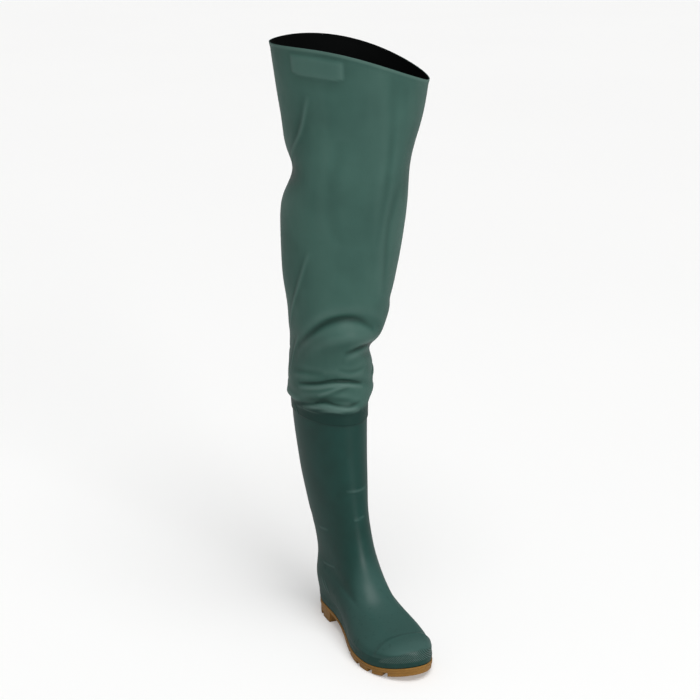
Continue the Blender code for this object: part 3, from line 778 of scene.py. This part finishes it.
def leg_mesh():
    angle = circle(LEG_AROUND)
    crowded, wide_apart = np.linspace(0, 0.36, 140)[:-1], np.linspace(0.36, 0.985, 110)
    up = np.concatenate([crowded, wide_apart, [0.99, 0.995, 0.998, 1.0]])
    outer, folds = leg_rings(up, angle, LEG_WALL, True)
    outer = moved_out(outer, HEM_THICKNESS * ease((up[:, None] - HEM_START) / HEM_BLEND))
    weld = weld_rings(WELD_RINGS, angle, LEG_WALL)
    down = np.concatenate([[1.0, 0.996, 0.985], np.linspace(0.97, 0.0, 48)])
    inner, _ = leg_rings(down, angle, 0.0, False)
    depth = LINING_ROOM * ease((1 - down) / 0.05) * ease(down / 0.05)
    inner = moved_out(inner, -depth[:, None])
    low = moved_out(weld, -LEG_WALL)[:1]
    points = np.concatenate([weld, outer, inner, low])
    sleeve = slice(len(weld), len(weld) + len(outer))
    names = ("inside", "painted_fold_shade", "painted_ridge_highlight", "weld", "hem")
    masks = {name: np.zeros(points.shape[:2]) for name in names}
    masks["inside"][sleeve.stop:] = 1
    masks["hem"][sleeve] = ease((up[:, None] - HEM_START - 0.002) / HEM_BLEND)
    # Painted shade over the welded foot, fading out up the sleeve's first rings.
    masks["weld"][:len(weld)] = 1
    masks["weld"][len(weld):len(weld) + WELD_RINGS] = ease(np.linspace(1, 0, WELD_RINGS))[:, None]
    # Painted shade in the fold hollows, by how far each point lies below the folds near it.
    height = local_height(folds)
    masks["painted_fold_shade"][sleeve] = np.clip(-height / DEEP_HOLLOW, 0, 1)
    # Painted highlight along the ridges, by how far each point stands over the folds near it, and along
    # the welded foot's creases.
    masks["painted_ridge_highlight"][sleeve] = np.clip(height / HIGH_RIDGE, 0, 1)
    creases = crease_depth(angle, (weld[..., 2] - BOOT_HEIGHT) / LEG_SPAN)
    masks["painted_ridge_highlight"][:len(weld)] = np.clip(creases / HIGH_WELD_RIDGE, 0, 1)
    return grid_mesh("wader_leg", points, masks, math.pi * THIGH_WIDTH)


def local_height(folds):
    """How far each point stands over the mean of the folds near it: 6 rings up and down, where the
    ends repeat, and 4 points to each side, where it goes round."""
    mean = np.pad(folds, ((6, 6), (0, 0)), mode="edge")
    mean = sum(mean[i:i + len(folds)] for i in range(13)) / 13
    mean = sum(np.roll(mean, i, axis=1) for i in range(-4, 5)) / 9
    return folds - mean


def capped_rings(name, rings, split):
    """A closed body: walls between the rings, and strips from side to side over the first and last."""
    count = rings.shape[1]
    total = len(rings)
    row, column = np.meshgrid(np.arange(total - 1), np.arange(count), indexing="ij")
    after = (column + 1) % count
    walls = np.stack([
        row * count + column, (row + 1) * count + column,
        (row + 1) * count + after, row * count + after,
    ], axis=-1).reshape(-1, 4)
    faces = [tuple(face) for face in walls.tolist()]
    for start, upward in ((0, False), ((total - 1) * count, True)):
        for i in range(split):
            strip = [i, i + 1, (count - i - 1) % count, (count - i) % count]
            corners = [start + corner for corner in dict.fromkeys(strip)]
            faces.append(tuple(corners if upward else corners[::-1]))
    mesh = bpy.data.meshes.new(name)
    mesh.from_pydata(rings.reshape(-1, 3), [], faces)
    return mesh


def sole_stations(count):
    """Angles from toe to heel and back, with the same stations on both sides."""
    ends = np.array([breast(-1), breast(1)])
    ends = np.concatenate([ends, ends + BREAST_SLOPE / SOLE_LENGTH])
    half = np.sort(np.concatenate([np.linspace(0, math.pi, count)[1:-1], np.arccos(2 * ends - 1)]))
    return np.concatenate([[0], half, [math.pi], 2 * math.pi - half[::-1]]), len(half) + 1


def sole_base(angle):
    along = (1 + np.cos(angle)) / 2
    x = BALL_WIDTH * (bend(along) - full(along) * np.sin(angle))
    return np.stack([x, HEEL_BACK - SOLE_LENGTH * along, 0 * x], axis=1), along


def cutter(size, place, turn):
    """The corners of a box of this size about its place, turned about the upright."""
    ends = (-1, 1)
    corners = np.array([(x, y, z) for x in ends for y in ends for z in ends]) * np.array(size) / 2
    cosine, sine = math.cos(turn), math.sin(turn)
    x = corners[:, 0] * cosine - corners[:, 1] * sine
    y = corners[:, 0] * sine + corners[:, 1] * cosine
    return np.stack([x, y, corners[:, 2]], axis=1) + place


def tread_boxes():
    """One mesh of the boxes that leave the notches at the sides and the bars underneath."""
    boxes = []
    for side, share in NOTCH_ROWS:
        near = math.acos(2 * share - 1)
        step = math.radians(1)
        ring, _ = sole_base(np.array([near - step, near, near + step]) * -side)
        run = ring[2] - ring[0]
        turn = math.atan2(run[1], run[0]) + math.pi / 2
        place = ring[1] + [0, 0, ground(share)]
        boxes.append(cutter((2 * NOTCH_REACH, NOTCH_WIDTH, 2 * LUG_DEPTH), place, turn))
    for share in BAR_PLACES:
        width = 4 * BAR_SHARE * BALL_WIDTH * full(share) * math.sqrt(share * (1 - share))
        place = (BALL_WIDTH * bend(share), HEEL_BACK - SOLE_LENGTH * share, ground(share))
        boxes.append(cutter((width, BAR_WIDTH, 2 * BAR_DEPTH), place, 0))
    sides = [(0, 1, 3, 2), (4, 6, 7, 5), (0, 4, 5, 1), (2, 3, 7, 6), (0, 2, 6, 4), (1, 5, 7, 3)]
    faces = [[corner + 8 * i for corner in side] for i in range(len(boxes)) for side in sides]
    mesh = bpy.data.meshes.new("tread_boxes")
    mesh.from_pydata(np.concatenate(boxes), [], faces)
    return mesh


def sole_mesh():
    """The outsole with its lugs: a rounded slab of rings, with the tread's boxes cut from it."""
    angle, split = sole_stations(SOLE_AROUND)
    base, along = sole_base(angle)
    bottom = underside(along, np.where(angle > math.pi, 1, -1))
    top = seat(along)
    band = np.maximum(top - SOLE_BAND, bottom + 2 * SOLE_ROUND)
    rings = []
    for share in np.linspace(0, 1, 4):
        turn = share * math.pi / 2
        inset = LUG_STEP + SOLE_ROUND * (1 - math.sin(turn))
        rings.append((inset, bottom + SOLE_ROUND * (1 - math.cos(turn))))
    rings.append((LUG_STEP, band))
    rings.append((LUG_STEP * 0.3, band + LUG_STEP * 0.2))
    rings.append((0, band + LUG_STEP * 0.6))
    middle = (band + LUG_STEP + top - SOLE_ROUND / 2) / 2
    for inset, share in ((0, -1), (SOLE_RIB_HEIGHT, -0.5), (SOLE_RIB_HEIGHT, 0.5), (0, 1)):
        rings.append((inset, middle + SOLE_RIB_HALF_WIDTH * share))
    rings.append((0, top - SOLE_ROUND / 2))
    rings.append((SOLE_ROUND / 2, top))
    stack = []
    for inset, height in rings:
        ring = moved_out(base, -inset)
        ring[:, 2] = height
        stack.append(ring)
    mesh = capped_rings("wader_sole", np.array(stack), split)
    tool = bpy.data.objects.new("tread_boxes", tread_boxes())
    body = bpy.data.objects.new("sole_body", mesh)
    for item in (tool, body):
        bpy.context.scene.collection.objects.link(item)
    cut = body.modifiers.new("Tread", "BOOLEAN")
    cut.operation = "DIFFERENCE"
    cut.solver = "EXACT"
    cut.use_self = True
    cut.object = tool
    graph = bpy.context.evaluated_depsgraph_get()
    made = bpy.data.meshes.new_from_object(body.evaluated_get(graph))
    for item in (tool, body):
        bpy.data.objects.remove(item)
    made.name = "wader_sole"
    made.polygons.foreach_set("use_smooth", np.ones(len(made.polygons), bool))
    made.set_sharp_from_angle(angle=math.radians(40))
    return made


def insole_mesh():
    """The foot bed: the sole's outline drawn in, with a rounded upper edge."""
    angle, split = sole_stations(INSOLE_AROUND)
    base, _ = sole_base(angle)
    low = moved_out(base, -(SOLE_LEDGE + BOOT_WALL + INSOLE_CLEARANCE))
    stack = []
    for inset, rise in ((0, 0), (0, 0.5), (0.0003, 0.8), (0.0009, 0.97), (0.0016, 1)):
        ring = moved_out(low, -inset)
        ring[:, 2] = seat((HEEL_BACK - low[:, 1]) / SOLE_LENGTH) + 2 * GAP + INSOLE_THICKNESS * rise
        stack.append(ring)
    mesh = capped_rings("wader_insole", np.array(stack), split)
    mesh.polygons.foreach_set("use_smooth", np.ones(len(mesh.polygons), bool))
    mesh.set_sharp_from_angle(angle=math.radians(60))
    return mesh


def add_camera():
    """The photograph's viewpoint, turned a little to the left so that the one boot is in the middle."""
    x, y = CAMERA_HEADING
    level = math.cos(CAMERA_TILT)
    ahead = np.array([x * level, y * level, -math.sin(CAMERA_TILT)])
    right = np.array([y, -x, 0.0])
    up = np.cross(right, ahead)
    cosine, sine = math.cos(CAMERA_TURN), math.sin(CAMERA_TURN)
    ahead, right = ahead * cosine - right * sine, right * cosine + ahead * sine
    data = bpy.data.cameras.new("camera")
    data.sensor_width = SENSOR_WIDTH
    data.lens = CAMERA_LENS
    data.clip_end = FARTHEST_SEEN
    camera = bpy.data.objects.new("camera", data)
    bpy.context.scene.collection.objects.link(camera)
    matrix = np.eye(4)
    matrix[:3, 0], matrix[:3, 1], matrix[:3, 2] = right, up, -ahead
    matrix[:3, 3] = CAMERA_PLACE
    camera.matrix_world = matrix.T.tolist()
    bpy.context.scene.camera = camera


def add_light(name, kind, side, place=(0, 0, 0), **settings):
    """A light that shines from this side, with its own settings."""
    data = bpy.data.lights.new(name, kind)
    for key, value in settings.items():
        setattr(data, key, value)
    light = bpy.data.objects.new(name, data)
    bpy.context.scene.collection.objects.link(light)
    light.location = place
    flat = math.hypot(side[0], side[1])
    light.rotation_euler = (math.atan2(flat, side[2]), 0, math.atan2(side[0], -side[1]))


def add_studio():
    """A white world that looks brighter than it shines, two soft suns, a small light and the floor."""
    world = bpy.data.worlds.new("studio")
    world.use_nodes = True
    tree = world.node_tree
    glow = tree.nodes["Background"].inputs
    glow["Color"].default_value = (1, 1, 1, 1)
    seen = tree.nodes.new("ShaderNodeLightPath")
    strength = tree.nodes.new("ShaderNodeMath")
    strength.operation = "MULTIPLY_ADD"
    strength.inputs[1].default_value = ADDED_GLOW_SEEN
    strength.inputs[2].default_value = WORLD_GLOW
    tree.links.new(seen.outputs["Is Camera Ray"], strength.inputs[0])
    tree.links.new(strength.outputs[0], glow["Strength"])
    bpy.context.scene.world = world
    bpy.context.scene.view_settings.view_transform = "Standard"
    add_light("overhead", "SUN", (0.0, -0.40, 1.0), angle=math.radians(45), energy=1.80)
    add_light("front", "SUN", (0.10, -1.0, 0.30), angle=math.radians(25), energy=1.25)
    add_light("top", "AREA", (-0.1, -0.9, 1.9), (-0.1, -1.0, 2.0), shape="DISK", size=0.9, energy=3)
    mesh = bpy.data.meshes.new("floor")
    corners = ((-1, -1), (1, -1), (1, 1), (-1, 1))
    mesh.from_pydata([(x * FLOOR_REACH, y * FLOOR_REACH, 0) for x, y in corners], [], [(0, 1, 2, 3)])
    mesh.materials.append(floor_finish().material)
    floor = bpy.data.objects.new("floor", mesh)
    bpy.context.scene.collection.objects.link(floor)


add_camera()
add_studio()
add_piece("wader_leg", leg_mesh(), cloth_finish(), "leg", "leg")
add_piece("wader_boot", boot_mesh(), boot_finish(), "boot", "boot")
add_piece("wader_sole", sole_mesh(), sole_finish(), "outsole", "outsole")
add_piece("wader_insole", insole_mesh(), insole_finish(), "insole", "insole")
